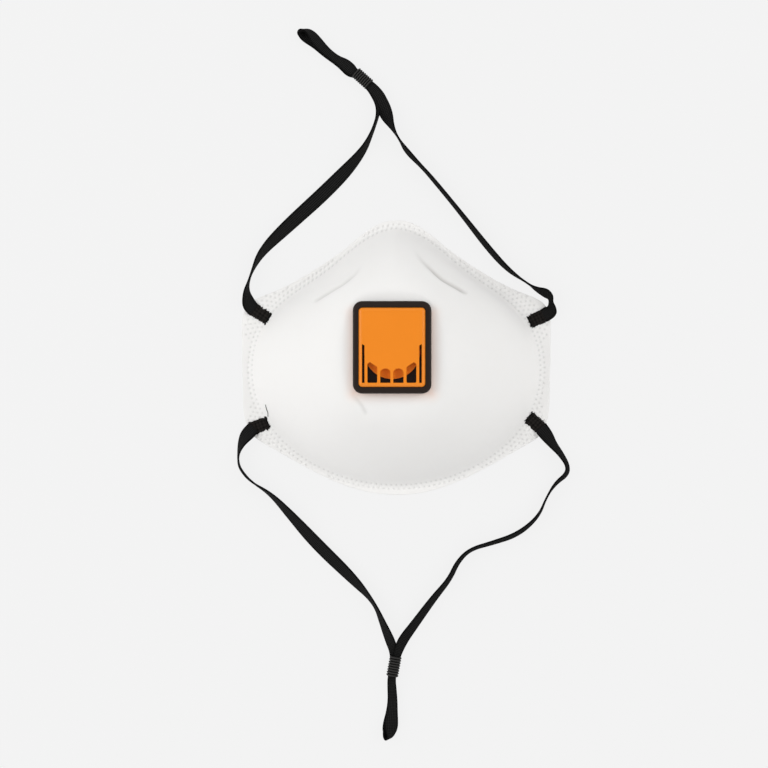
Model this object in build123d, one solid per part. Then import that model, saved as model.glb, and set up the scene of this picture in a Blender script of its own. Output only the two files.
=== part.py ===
"""Disposable cup dust mask with an exhalation valve and two elastic head straps.

Frame: millimetres, +Z up through the front of the mask, +Y towards the nose, +X across
the face. The mask lies on its rim at Z = 0, and the origin is the centre of the rim.
"""

from build123d import *
import math
import os

# ---------------------------------------------------------------- driving dimensions
# Rim outline, right half, from the nose to the chin. The left half mirrors it.
RIM_HALF = [
    (0.0, 61.5), (7.8, 59.9), (15.8, 54.7), (24.2, 47.8), (34.2, 40.9), (45.5, 34.0),
    (54.2, 29.8), (61.6, 26.8), (66.2, 23.9), (68.8, 18.6), (69.2, 8.0), (68.9, -9.0),
    (68.5, -23.5), (66.9, -30.2), (63.0, -36.1), (50.5, -43.6), (38.0, -50.5),
    (26.5, -56.0), (13.5, -60.1), (0.0, -61.5),
]
FOOT_HALF_WIDTH = 65.0        # where the cup meets the rim
FOOT_CENTRE_Y = -6.0
FOOT_NOSE = 64.3              # reach of the foot from its centre to the nose
FOOT_CHIN = 51.5              # and to the chin
FOOT_WAIST = 0.147            # share by which the nose flanks are pulled in at most
WAIST_POWERS = (1.6, 2.9)     # where along the flanks the pull is strongest
WAIST_PEAK = 0.2305           # largest value of that product of powers
CUP_HEIGHT = 46.0             # boss plane that carries the valve
BOSS_CENTRE = (0.0, 3.7)
BOSS_HALF = (19.4, 22.4)
WALL_HANDLE_LOW = (0.26, 0.42)   # Bezier handles of the wall, foot (0, 0) to boss (1, 1)
WALL_HANDLE_HIGH = (0.63, 0.92)
WALL_LEVELS = [0.0, 0.12, 0.26, 0.42, 0.6, 0.8, 1.0]
OUTLINE_POINTS = 36

COVER_WEB = 0.6               # moulded outer web
FILTER_WEB = 0.6              # melt-blown filter
LINER_WEB = 1.0               # stiff inner shell
LINER_RIM = 0.8               # the same layers, pressed together at the rim
FILTER_RIM = 0.5
COVER_RIM = 0.5
RIM_TOP = LINER_RIM + FILTER_RIM + COVER_RIM

CLIP_BAND = (35.0, 12.5, 17.5)   # half span across the nose, lowest and highest height
FOAM_BAND = (33.0, 3.0, 14.0)
FOAM_THICKNESS = 3.5
BAND_START = 5.0              # clip and foam begin this far in front of the boss's centre

VALVE_SIZE = (33.4, 39.4)
VALVE_CORNER = 4.0
VALVE_PLATE = 1.2
FRAME_TOP = CUP_HEIGHT + 4.2
FRAME_BAND = (2.4, 2.7)       # width of the frame's sides, and of its ends
FRAME_EDGE = 0.8
SEAT_CENTRE = (0.0, BOSS_CENTRE[1] - 1.5)
SEAT_BORE = 10.2
SEAT_RING = 11.4
SEAT_TOP = CUP_HEIGHT + 2.0
SPOKE_WIDTH = 1.6
SPOKE_OVERLAP = 0.3           # how far a spoke runs into the seat ring
HUB_RADIUS = 3.0
HUB_TOP = CUP_HEIGHT + 1.6
SPIGOT_RADIUS = 13.8
SPIGOT_WALL = 1.2
SPIGOT_PAST = 0.3             # spigot beyond the retainer
SPIGOT_ROOT = 0.4             # and into the base plate
SHELL_HOLE = 14.0
RETAINER_RADIUS = 17.0
RETAINER_THICKNESS = 1.2
RETAINER_EDGE = 0.5

FLAP_RADIUS = 12.0
FLAP_THICKNESS = 0.5
FLAP_GAP = 0.02               # lies on the seat
STEM_RADIUS = 1.5
STEM_CLEARANCE = 0.05
BULB_RADIUS = 2.1
BULB_HEIGHT = 1.4
BULB_TAPER = 0.7
BULB_SLACK = 0.1              # left under the hub when the flap is fully lifted
STEM_ROOT = 0.2               # stem into the flap and the bulb
FLAP_LIFT = 1.0

COVER_GAP = 0.15
COVER_TOP = CUP_HEIGHT + 5.6
COVER_WALL = 1.2
COVER_EDGE = 1.5
COVER_CORNER = 1.6
COVER_INNER_CORNER = 0.6
WINDOW_FOOT = -15.1           # local to the valve's centre
SLOT_X = (11.6, 12.7)
SLOT_TOP = 1.4
INNER_WINDOW_X = (0.58, 4.95)
INNER_WINDOW_TOP = -9.0
OUTER_WINDOW_X = (6.2, 10.4)
OUTER_WINDOW_TOP = (-8.4, -6.3)
INNER_WINDOW_ARCH = 1.5       # rise of the round head of an inner window
OUTER_WINDOW_CUT = (1.0, 0.8) # cut corner at the head of an outer window
WINDOW_CORNER = 0.55
SLOT_SLANT = 0.7

STRAP_WIDTH = 6.5
STRAP_THICKNESS = 0.9
GATHERED_WIDTH = 3.0          # the strap folds to this width inside a toggle
TAB_THICKNESS = 0.7
CORNER_SHARE = 0.45           # share of the shorter run that a corner's arc may take up

TOGGLE_RADIUS = 2.75
TOGGLE_BORE = 1.95
TOGGLE_RINGS = 8
TOGGLE_GROOVE = 0.35
RING_CREST = (0.22, 0.78)     # where the crest of a ring begins and ends
UPPER_TOGGLE = {"centre": (-15.1, 125.1), "angle": 138.0, "length": 8.4}
LOWER_TOGGLE = {"centre": (-1.0, -138.5), "angle": -100.6, "length": 9.2}
GATHER_BEHIND = 6.0           # how far the narrow stretch runs each side of a toggle
GATHER_AHEAD = 14.5
GATHER_CUTTER = (4.4, 10.0)   # width and height of the block that trims the strap there
CUT_PAST = 1.0                # how far cutting shapes stand proud of what they cut

# Strap routes, from the left weld through the toggle, round the tail and back to the
# right weld. The first and last points are where the straps leave their welds.
UPPER_ROUTE = [
    (-66.9, 23.46), (-68.4, 24.45), (-68.3, 29.0), (-67.6, 32.6), (-64.7, 38.9),
    (-60.4, 47.4), (-49.5, 58.3), (-29.9, 76.2), (-15.6, 91.2), (-10.6, 101.0),
    (-7.6, 110.2), (-8.81, 118.63), (-27.61, 135.56), (-35.3, 139.8), (-41.0, 142.6),
    (-43.4, 144.6), (-41.9, 146.7), (-38.9, 145.3), (-33.9, 141.8), (-26.81, 136.45),
    (-8.01, 119.52), (-3.9, 110.8), (-0.7, 101.3), (4.6, 92.6), (16.2, 80.3),
    (28.4, 65.5), (41.6, 48.6), (50.4, 39.0), (61.6, 31.8), (68.6, 30.2),
    (70.9, 26.4), (70.8, 21.0), (69.1, 20.2),
]
LOWER_ROUTE = [
    (-66.4, -32.5), (-68.6, -33.3), (-70.7, -38.9), (-71.2, -43.9), (-70.4, -49.4),
    (-65.4, -55.6), (-56.4, -61.0), (-47.8, -70.2), (-35.6, -83.9), (-19.6, -99.2),
    (-9.8, -109.9), (-5.4, -120.4), (-3.2, -126.4), (-0.13, -130.53), (-4.39, -153.43),
    (-4.3, -161.3), (-5.3, -166.9), (-5.2, -170.4), (-2.5, -171.1), (-1.4, -167.3),
    (-1.7, -161.7), (-3.21, -153.65), (1.05, -130.75), (2.9, -126.6), (8.2, -119.6),
    (16.6, -108.2), (24.0, -99.4), (27.4, -91.8), (33.0, -86.0), (43.0, -83.2),
    (54.6, -79.4), (63.9, -71.4), (67.5, -62.4), (71.6, -56.2), (76.6, -52.4),
    (77.0, -48.4), (73.4, -42.9), (69.8, -38.7), (67.9, -34.37), (66.2, -32.8),
]
# Inner end of each weld; its outer end is the strap's exit.
WELDS = {
    "upper_left_strap_weld": ((-57.9, 17.5), UPPER_ROUTE[0]),
    "upper_right_strap_weld": ((60.3, 16.0), UPPER_ROUTE[-1]),
    "lower_left_strap_weld": ((-58.7, -29.6), LOWER_ROUTE[0]),
    "lower_right_strap_weld": ((60.2, -27.2), LOWER_ROUTE[-1]),
}


# ---------------------------------------------------------------- cup surface
def foot_point(angle):
    """Point where the cup meets the rim; angle 0 is the nose, 90 degrees the right cheek."""
    across, along = math.sin(angle), math.cos(angle)
    if along > 0:
        pull = abs(across) ** WAIST_POWERS[0] * along ** WAIST_POWERS[1] / WAIST_PEAK
        shrink = 1.0 - FOOT_WAIST * pull
        return (
            FOOT_HALF_WIDTH * across * shrink,
            FOOT_CENTRE_Y + FOOT_NOSE * along * shrink,
        )
    return FOOT_HALF_WIDTH * across, FOOT_CENTRE_Y + FOOT_CHIN * along


def boss_point(angle, inset):
    """Point of the rounded boss in the same direction as the foot point."""
    x, y = foot_point(angle)
    turn = math.atan2(y - BOSS_CENTRE[1], x - BOSS_CENTRE[0])
    half_x, half_y = BOSS_HALF[0] - inset, BOSS_HALF[1] - inset
    reach = (
        abs(math.cos(turn) / half_x) ** 4 + abs(math.sin(turn) / half_y) ** 4
    ) ** -0.25
    return BOSS_CENTRE[0] + reach * math.cos(turn), BOSS_CENTRE[1] + reach * math.sin(turn)


def wall_profile(level):
    """Share of the way across to the boss and up to it, along the cup's wall."""
    a, b = 3 * level * (1 - level) ** 2, 3 * level**2 * (1 - level)
    across = a * WALL_HANDLE_LOW[0] + b * WALL_HANDLE_HIGH[0] + level**3
    up = a * WALL_HANDLE_LOW[1] + b * WALL_HANDLE_HIGH[1] + level**3
    return across, up


def cup_solid(inset, base_z):
    """Solid bounded by the cup surface set in by `inset`, from base_z to the boss plane."""
    wires = []
    top_z = CUP_HEIGHT - inset
    for level in WALL_LEVELS:
        across, up = wall_profile(level)
        z = base_z + (top_z - base_z) * up
        points = []
        for i in range(OUTLINE_POINTS):
            angle = 2 * math.pi * i / OUTLINE_POINTS
            fx, fy = foot_point(angle)
            length = math.hypot(fx, fy - FOOT_CENTRE_Y)
            keep = (length - inset) / length
            fx, fy = fx * keep, FOOT_CENTRE_Y + (fy - FOOT_CENTRE_Y) * keep
            bx, by = boss_point(angle, inset)
            points.append((fx + (bx - fx) * across, fy + (by - fy) * across, z))
        wires.append(Wire([Edge.make_spline([Vector(*p) for p in points], periodic=True)]))
    return Solid.make_loft(wires)


def rim_plate(low, high):
    """Full plate of the rim outline between two heights."""
    left = [(-x, y) for x, y in reversed(RIM_HALF[1:-1])]
    outline = [Vector(x, y, 0) for x, y in RIM_HALF + left]
    face = Face(Wire([Edge.make_spline(outline, periodic=True)]))
    return Pos(0, 0, low) * extrude(face, amount=high - low, dir=(0, 0, 1))


def nose_band(half_span, low, high):
    """Block that cuts a level band out of the wall round the nose, for the clip and the foam."""
    reach = RIM_HALF[0][1]
    block = Box(2 * half_span, reach, high - low)
    return Pos(BOSS_CENTRE[0], BOSS_CENTRE[1] + reach / 2 + BAND_START, (low + high) / 2) * block


def one_solid(shape):
    """The single solid of a boolean result."""
    solids = sorted(shape.solids(), key=lambda s: s.volume)
    return solids[-1]


def make_cup_layers():
    """Outer cover, filter, liner, and the nose clip and foam that follow the same surface."""
    outer = cup_solid(0.0, LINER_RIM + FILTER_RIM)
    below_cover = cup_solid(COVER_WEB, LINER_RIM)
    below_filter = cup_solid(COVER_WEB + FILTER_WEB, 0.0)
    cavity = cup_solid(COVER_WEB + FILTER_WEB + LINER_WEB, -1.0)
    hole = Pos(SEAT_CENTRE[0], SEAT_CENTRE[1], CUP_HEIGHT) * Cylinder(SHELL_HOLE, 20)

    cover = rim_plate(LINER_RIM + FILTER_RIM, RIM_TOP) + outer - below_cover - hole
    filter_web = rim_plate(LINER_RIM, LINER_RIM + FILTER_RIM) + below_cover
    filter_web = filter_web - below_filter - hole
    liner = rim_plate(0.0, LINER_RIM) + below_filter - cavity - hole

    clip_zone = nose_band(*CLIP_BAND)
    clip = (below_cover - below_filter) & clip_zone
    filter_web = filter_web - clip_zone

    foam_inner = cup_solid(
        COVER_WEB + FILTER_WEB + LINER_WEB + FOAM_THICKNESS, -1.0
    )
    foam = (cavity - foam_inner) & nose_band(*FOAM_BAND)
    return {
        "outer_cover": one_solid(cover),
        "filter_layer": one_solid(filter_web),
        "inner_liner": one_solid(liner),
        "nose_clip": one_solid(clip),
        "nose_foam": one_solid(foam),
    }


# ---------------------------------------------------------------- exhalation valve
def at_valve(z):
    return Pos(BOSS_CENTRE[0], BOSS_CENTRE[1], z)


def at_seat(z):
    return Pos(SEAT_CENTRE[0], SEAT_CENTRE[1], z)


def tube(outer, inner, low, high):
    """Ring about the seat's axis between two heights."""
    ring = Circle(outer) - Circle(inner)
    return at_seat(low) * extrude(ring, amount=high - low)


def rounded_block(size_x, size_y, corner, low, high):
    """Rounded rectangle about the valve's centre between two heights."""
    return at_valve(low) * extrude(RectangleRounded(size_x, size_y, corner), amount=high - low)


def make_valve_base():
    """Black seat moulding: plate, raised frame, seat ring, hub on spokes and spigot."""
    block = rounded_block(*VALVE_SIZE, VALVE_CORNER, CUP_HEIGHT, FRAME_TOP)
    block = fillet(block.edges().group_by(Axis.Z)[-1], FRAME_EDGE)
    pocket = rounded_block(
        VALVE_SIZE[0] - 2 * FRAME_BAND[0], VALVE_SIZE[1] - 2 * FRAME_BAND[1],
        COVER_CORNER + COVER_GAP, CUP_HEIGHT + VALVE_PLATE, FRAME_TOP + CUT_PAST,
    )
    bore = at_seat(CUP_HEIGHT + VALVE_PLATE) * Cylinder(SEAT_BORE, 8)
    base = block - pocket - bore
    base += tube(SEAT_RING, SEAT_BORE, CUP_HEIGHT + VALVE_PLATE, SEAT_TOP)
    spoke_height = HUB_TOP - CUP_HEIGHT
    for turn in (45, 135):
        spoke = Box(2 * (SEAT_BORE + SPOKE_OVERLAP), SPOKE_WIDTH, spoke_height)
        base += at_seat(CUP_HEIGHT + spoke_height / 2) * Rot(0, 0, turn) * spoke
    base += at_seat(CUP_HEIGHT + spoke_height / 2) * Cylinder(HUB_RADIUS, spoke_height)
    base -= at_seat(CUP_HEIGHT) * Cylinder(STEM_RADIUS + STEM_CLEARANCE, 12)
    inner_top = CUP_HEIGHT - COVER_WEB - FILTER_WEB - LINER_WEB
    base += tube(
        SPIGOT_RADIUS, SPIGOT_RADIUS - SPIGOT_WALL,
        inner_top - RETAINER_THICKNESS - SPIGOT_PAST, CUP_HEIGHT + SPIGOT_ROOT,
    )
    return one_solid(base)


def make_valve_retainer():
    """Ring inside the cup that clamps the layers against the valve base."""
    inner_top = CUP_HEIGHT - COVER_WEB - FILTER_WEB - LINER_WEB
    ring = tube(RETAINER_RADIUS, SPIGOT_RADIUS, inner_top - RETAINER_THICKNESS, inner_top)
    outer_edge = ring.edges().group_by(Axis.Z)[0].sort_by(SortBy.RADIUS)[-1]
    return one_solid(fillet(outer_edge, RETAINER_EDGE))


def make_valve_diaphragm():
    """Round silicone flap with the stem that holds it in the hub."""
    low = SEAT_TOP + FLAP_GAP
    disc = at_seat(low + FLAP_THICKNESS / 2) * Cylinder(FLAP_RADIUS, FLAP_THICKNESS)
    bulb_top = CUP_HEIGHT - FLAP_LIFT - BULB_SLACK
    stem_height = low - bulb_top + STEM_ROOT
    stem = at_seat(bulb_top + stem_height / 2) * Cylinder(STEM_RADIUS, stem_height)
    bulb = at_seat(bulb_top - BULB_HEIGHT / 2) * Cylinder(BULB_RADIUS, BULB_HEIGHT)
    bulb = chamfer(bulb.edges().group_by(Axis.Z)[0], BULB_TAPER)
    return one_solid(disc + stem + bulb)


def window_outline(points):
    """Closed polygon with rounded corners, for a vent window."""
    wire = Wire.make_polygon([Vector(x, y, 0) for x, y in points])
    return Face(wire.fillet_2d(WINDOW_CORNER, wire.vertices()))


def vent_windows():
    """All the openings in the valve cover's top, as tall prisms in the valve's own place."""
    x0, x1 = INNER_WINDOW_X
    middle, shoulder = (x0 + x1) / 2, INNER_WINDOW_TOP - INNER_WINDOW_ARCH
    inner = Face(Wire([
        Edge.make_line(Vector(x0, shoulder, 0), Vector(x0, WINDOW_FOOT, 0)),
        Edge.make_line(Vector(x0, WINDOW_FOOT, 0), Vector(x1, WINDOW_FOOT, 0)),
        Edge.make_line(Vector(x1, WINDOW_FOOT, 0), Vector(x1, shoulder, 0)),
        Edge.make_three_point_arc(
            Vector(x1, shoulder, 0), Vector(middle, INNER_WINDOW_TOP, 0), Vector(x0, shoulder, 0)
        ),
    ]))
    x0, x1 = OUTER_WINDOW_X
    outer = window_outline([
        (x0, WINDOW_FOOT), (x1, WINDOW_FOOT), (x1, OUTER_WINDOW_TOP[1] - OUTER_WINDOW_CUT[1]),
        (x1 - OUTER_WINDOW_CUT[0], OUTER_WINDOW_TOP[1]), (x0, OUTER_WINDOW_TOP[0]),
    ])
    x0, x1 = SLOT_X
    slot = Face(Wire.make_polygon([
        Vector(x0, WINDOW_FOOT, 0), Vector(x1, WINDOW_FOOT, 0), Vector(x1, SLOT_TOP, 0),
        Vector(x0, SLOT_TOP - SLOT_SLANT, 0),
    ]))
    prisms = []
    for face in (inner, outer, slot):
        prism = extrude(face, amount=COVER_WALL + 2 * CUT_PAST, dir=(0, 0, 1))
        prisms += [prism, mirror(prism, Plane.YZ)]
    return [at_valve(COVER_TOP - COVER_WALL - CUT_PAST) * prism for prism in prisms]


def make_valve_cover():
    """Orange louvred cap that stands inside the frame."""
    size = [
        whole - 2 * (band + COVER_GAP) for whole, band in zip(VALVE_SIZE, FRAME_BAND)
    ]
    foot = CUP_HEIGHT + VALVE_PLATE
    shell = rounded_block(*size, COVER_CORNER, foot, COVER_TOP)
    shell = fillet(shell.edges().group_by(Axis.Z)[-1], COVER_EDGE)
    inside = rounded_block(
        size[0] - 2 * COVER_WALL, size[1] - 2 * COVER_WALL, COVER_INNER_CORNER,
        foot - CUT_PAST, COVER_TOP - COVER_WALL,
    )
    shell -= inside
    for prism in vent_windows():
        shell -= prism
    return one_solid(shell)


# ---------------------------------------------------------------- straps and toggles
def corner_radii(points):
    """Largest arc that each corner's two runs allow."""
    radii = []
    for a, b, c in zip(points, points[1:], points[2:]):
        before, after = Vector(*b) - Vector(*a), Vector(*c) - Vector(*b)
        half_turn = math.radians(before.get_angle(after)) / 2
        radii.append(CORNER_SHARE * min(before.length, after.length) / math.tan(half_turn))
    return radii


def make_strap(name, route, toggle):
    """Flat elastic standing on its edge, narrowed where it is gathered in the toggle."""
    middle_z = STRAP_WIDTH / 2
    points = [(x, y, middle_z) for x, y in route]
    radii = corner_radii(points)
    path = FilletPolyline(*points, radius=radii)
    start, along = path @ 0, path % 0
    section = Plane(origin=start, x_dir=along.cross(Vector(0, 0, 1)), z_dir=along)
    strap = sweep(section * Rectangle(STRAP_THICKNESS, STRAP_WIDTH), path=path.wire())
    expected = STRAP_THICKNESS * STRAP_WIDTH * path.length
    print(name, "length", round(path.length, 1), "radii", [round(r, 1) for r in radii])
    print(name, "volume", round(strap.volume), "section times length", round(expected))
    centre = (*toggle["centre"], TOGGLE_RADIUS)
    length = GATHER_BEHIND + GATHER_AHEAD
    for side in (1, -1):
        offset = side * (GATHERED_WIDTH + GATHER_CUTTER[1]) / 2
        cutter = Pos(*centre) * Rot(0, 0, toggle["angle"])
        cutter *= Pos((GATHER_AHEAD - GATHER_BEHIND) / 2, 0, offset) * Box(length, *GATHER_CUTTER)
        strap -= cutter
    return one_solid(strap)


def make_toggle(toggle):
    """Ribbed bead that slides along the two strap legs."""
    half = toggle["length"] / 2
    ring = toggle["length"] / TOGGLE_RINGS
    profile = [(-half, TOGGLE_BORE)]
    for i in range(TOGGLE_RINGS):
        low = -half + i * ring
        profile += [
            (low, TOGGLE_RADIUS - TOGGLE_GROOVE), (low + RING_CREST[0] * ring, TOGGLE_RADIUS),
            (low + RING_CREST[1] * ring, TOGGLE_RADIUS),
        ]
    profile += [(half, TOGGLE_RADIUS - TOGGLE_GROOVE), (half, TOGGLE_BORE)]
    face = Face(Wire.make_polygon([Vector(x, y, 0) for x, y in profile]))
    bead = revolve(face, axis=Axis.X)
    return one_solid(Pos(*toggle["centre"], TOGGLE_RADIUS) * Rot(0, 0, toggle["angle"]) * bead)


def make_weld(inner, outer):
    """End of a strap, pressed flat and welded to the top of the rim."""
    along = Vector(outer[0] - inner[0], outer[1] - inner[1], 0)
    plane = Plane(origin=(*inner, RIM_TOP), x_dir=along, z_dir=(0, 0, 1))
    tab = Pos(along.length / 2, 0, TAB_THICKNESS / 2) * Box(
        along.length, STRAP_WIDTH, TAB_THICKNESS
    )
    return one_solid(plane * tab)


def main():
    nodes = make_cup_layers()
    nodes["valve_base"] = make_valve_base()
    nodes["valve_cover"] = make_valve_cover()
    nodes["valve_diaphragm"] = make_valve_diaphragm()
    nodes["valve_retainer"] = make_valve_retainer()
    for name, (inner, outer) in WELDS.items():
        nodes[name] = make_weld(inner, outer)
    nodes["upper_strap"] = make_strap("upper_strap", UPPER_ROUTE, UPPER_TOGGLE)
    nodes["lower_strap"] = make_strap("lower_strap", LOWER_ROUTE, LOWER_TOGGLE)
    nodes["upper_toggle"] = make_toggle(UPPER_TOGGLE)
    nodes["lower_toggle"] = make_toggle(LOWER_TOGGLE)

    os.makedirs("parts", exist_ok=True)
    for name, shape in nodes.items():
        export_step(shape, os.path.join("parts", name + ".step"))


main()
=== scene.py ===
"""Looks of the disposable dust mask: moulded web shell, valve, elastic straps and toggles.

The shell's shape is worked out in millimetres, as on the bench; everything that is
handed to Blender is in metres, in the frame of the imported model.
"""

import math

import bpy
import numpy as np
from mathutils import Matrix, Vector
from mathutils.bvhtree import BVHTree
from mathutils.kdtree import KDTree


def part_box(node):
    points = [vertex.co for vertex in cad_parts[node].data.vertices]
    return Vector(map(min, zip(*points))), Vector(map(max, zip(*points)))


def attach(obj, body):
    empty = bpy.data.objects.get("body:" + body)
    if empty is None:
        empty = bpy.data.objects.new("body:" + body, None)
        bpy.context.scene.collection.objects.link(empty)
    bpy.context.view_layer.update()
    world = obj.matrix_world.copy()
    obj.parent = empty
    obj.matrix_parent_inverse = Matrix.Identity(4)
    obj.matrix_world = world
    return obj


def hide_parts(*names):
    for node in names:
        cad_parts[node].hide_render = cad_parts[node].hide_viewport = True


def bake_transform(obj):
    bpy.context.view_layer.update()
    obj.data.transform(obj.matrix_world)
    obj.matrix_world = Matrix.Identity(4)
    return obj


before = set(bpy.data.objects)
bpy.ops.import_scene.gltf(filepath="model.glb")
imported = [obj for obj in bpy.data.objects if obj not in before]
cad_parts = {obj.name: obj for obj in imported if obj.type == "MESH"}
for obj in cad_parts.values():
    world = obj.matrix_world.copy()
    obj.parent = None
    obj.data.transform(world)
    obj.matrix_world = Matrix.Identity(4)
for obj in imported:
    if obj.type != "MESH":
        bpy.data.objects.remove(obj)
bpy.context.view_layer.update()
MM = 0.001

# ---------------- the shell's sizes
RIM_HALF = [
    (0.0, 61.5), (7.8, 59.9), (15.8, 54.7), (24.2, 47.8), (34.2, 40.9), (45.5, 34.0),
    (54.2, 29.8), (61.6, 26.8), (66.2, 23.9), (68.8, 18.6), (69.2, 8.0), (68.9, -9.0),
    (68.5, -23.5), (66.9, -30.2), (63.0, -36.1), (50.5, -43.6), (38.0, -50.5),
    (26.5, -56.0), (13.5, -60.1), (0.0, -61.5),
]
FOOT_HALF_WIDTH = 65.0
FOOT_CENTRE = np.array([0.0, -6.0])
FOOT_NOSE = 64.3
FOOT_CHIN = 51.5
WAIST_POWERS = (1.6, 2.9)     # how the foot line is drawn in at the nose flanks
FOOT_WAIST = 0.147 / 0.2305   # most drawn in, over the peak of those powers' product
CUP_HEIGHT = 46.0
BOSS_CENTRE = np.array([0.0, 3.7])
BOSS_HALF = (19.4, 22.4)
BOSS_POWER = 4
WALL_LOW = (0.26, 0.42)
WALL_HIGH = (0.63, 0.92)
FILLET = 3.5                  # height over which the wall runs out into the rim
FLANK_FILLET = 2.5            # and how much more at the nose flanks
FLANK_TURN = 48               # degrees from the nose to the middle of a flank
FLANK_SPREAD = 20
BOSS_EDGE = 1.0               # and over which it eases into the boss
HOLE_CENTRE = np.array([0.0, 2.2])
HOLE_RADIUS = 14.0

# Each skin of the laminate: how far it is set in, where its wall starts and its rim lies.
COVER_OUTSIDE = {"inset": 0.0, "base": 1.3, "rim": 1.8}
COVER_INSIDE = {"inset": 0.6, "base": 0.8, "rim": 1.3}
LINER_OUTSIDE = {"inset": 1.2, "base": 0.0, "rim": 0.8}
LINER_INSIDE = {"inset": 2.2, "base": -1.0, "rim": 0.0}

DOTS = 168                    # weld points in a row round the rim
FINE = 8 * DOTS               # segments round the rim, round the wall and underneath
MID = FINE // 2
COARSE = FINE // 4
ROW_PITCH = 1.75
FIRST_ROW = -0.2
MOST_ROWS = 5
BARE_EDGE = 0.9               # strip of the rim along its cut edge without weld points
# Degrees from the nose and the number of rows there: more where the straps are welded on.
ROWS_BY_TURN = [
    (0, 2), (36, 2), (50, 3), (58, 5), (74, 5), (79, 1.6), (106, 1.6), (112, 5), (124, 5),
    (132, 3), (180, 3),
]
DOT_RADIUS = 0.43
DOT_DEPTH = 0.3
LINER_DOT_LIFT = 0.22         # how far they stand out inside the liner's rim
COVER_EDGE = 0.12             # rounding of the cut edges
LINER_EDGE = 0.1
STROKE = np.array([0.37, 0.93])   # which way the drawn-out weld points lean

# Creases pressed into the nose flanks, from the nose outwards, the soft hollow outside the
# right one, and a wrinkle at the chin.
LEFT_CREASE = [
    (-13.7, 40.9), (-16.2, 36.6), (-19.1, 33.9), (-22.2, 31.6), (-25.8, 29.6), (-30.4, 27.0),
    (-34.4, 24.7), (-35.6, 24.5),
]
RIGHT_CREASE = [
    (8.2, 47.6), (12.4, 41.9), (16.7, 37.8), (20.6, 34.2), (25.3, 31.4), (30.7, 28.4), (32.4, 27.7),
]
RIGHT_FOLD = [(12.4, 41.9), (20.6, 34.2), (30.7, 28.4), (38.5, 24.4), (47.0, 20.4)]
CHIN_WRINKLE = [(-18.4, -15.2), (-16.0, -17.7), (-13.4, -20.8), (-11.2, -25.2)]


# ---------------- small helpers
def new_piece(name, points_mm, faces, body, smooth_angle=40):
    """Mesh piece from millimetre points, smooth except at sharp edges, riding on a body if any."""
    mesh = bpy.data.meshes.new(name)
    mesh.from_pydata((np.asarray(points_mm) * MM).tolist(), [], faces)
    mesh.validate()
    mesh.shade_smooth()
    mesh.set_sharp_from_angle(angle=math.radians(smooth_angle))
    piece = bpy.data.objects.new(name, mesh)
    bpy.context.scene.collection.objects.link(piece)
    if body is not None:
        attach(piece, body)
    return piece


def box_mm(node):
    """Lowest and highest corners of a CAD node in millimetres."""
    return [np.array(corner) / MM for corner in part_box(node)]


def point_attribute(piece, name, values):
    """Stores one number at each vertex, for the materials to read."""
    layer = piece.data.attributes.new(name, "FLOAT", "POINT")
    layer.data.foreach_set("value", np.asarray(values, np.float32))


def ring_faces(first, second, count):
    """Quads between two rings of the same count that start at these vertex numbers."""
    ahead = [(i + 1) % count for i in range(count)]
    return [(first + i, first + ahead[i], second + ahead[i], second + i) for i in range(count)]


def fan_faces(fine, coarse, count, ratio):
    """Triangles between a ring of count * ratio vertices and one of count vertices."""
    faces = []
    for i in range(count):
        here, after = coarse + i, coarse + (i + 1) % count
        row = [fine + (ratio * i + k) % (count * ratio) for k in range(ratio + 1)]
        sides = list(zip(row, row[1:]))
        half = ratio // 2
        faces += [(*side, here) for side in sides[:half]]
        faces.append((row[half], after, here))
        faces += [(*side, after) for side in sides[half:]]
    return faces


def flipped(faces):
    """The same faces, looking the other way."""
    return [tuple(reversed(face)) for face in faces]


def closed_block(first, second):
    """Points and faces of the solid between two grids of one size."""
    rows, columns = first.shape[:2]
    offset = rows * columns
    number = np.arange(offset).reshape(rows, columns)
    quads = np.dstack([number[:-1, :-1], number[:-1, 1:], number[1:, 1:], number[1:, :-1]])
    quads = quads.reshape(-1, 4)
    faces = np.stack([quads, offset + quads[:, ::-1]], 1).reshape(-1, 4).tolist()
    border = np.concatenate([number[0], number[1:, -1], number[-1, -2::-1], number[-2:0:-1, 0]])
    for a, b in zip(border.tolist(), np.roll(border, -1).tolist()):
        faces.append((b, a, offset + a, offset + b))
    return np.concatenate([first.reshape(-1, 3), second.reshape(-1, 3)]), faces


def end_caps(count, rings):
    """Faces that close both ends of a tube of rings."""
    return [tuple(range(count))[::-1], tuple(range((rings - 1) * count, rings * count))]


class Stack:
    """Rings of vertices laid one after another, joined as they are added."""

    def __init__(self):
        self.points, self.faces, self.last = [], [], None

    def add(self, ring):
        start = sum(len(p) for p in self.points)
        count = len(ring)
        self.points.append(ring)
        if self.last is not None:
            before, was = self.last
            if was == count:
                self.faces += ring_faces(before, start, count)
            elif was > count:
                self.faces += fan_faces(before, start, count, was // count)
            else:
                self.faces += flipped(fan_faces(start, before, was, count // was))
        self.last = (start, count)

    def all_points(self):
        return np.concatenate(self.points)


def between(a, b, c, d, share):
    """Place between b and c on the smooth curve through four points."""
    return 0.5 * (
        2 * b + (c - a) * share + (2 * a - 5 * b + 4 * c - d) * share**2
        + (3 * b - a - 3 * c + d) * share**3
    )


def smooth_ring(points, steps):
    """Closed smooth curve through the points."""
    points = np.asarray(points, float)
    share = np.linspace(0, 1, steps, endpoint=False)[:, None]
    turned = [np.roll(points, -k, 0) for k in (-1, 0, 1, 2)]
    return np.concatenate([between(*four, share) for four in zip(*turned)])


def smooth_line(line, steps=12):
    """Open smooth curve through the points."""
    line = [np.asarray(point, float) for point in line]
    ends = [2 * line[0] - line[1]] + line + [2 * line[-1] - line[-2]]
    share = np.linspace(0, 1, steps, endpoint=False)[:, None]
    spans = [between(*four, share) for four in zip(ends, ends[1:], ends[2:], ends[3:])]
    return np.concatenate(spans + [line[-1][None, :]])


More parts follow.
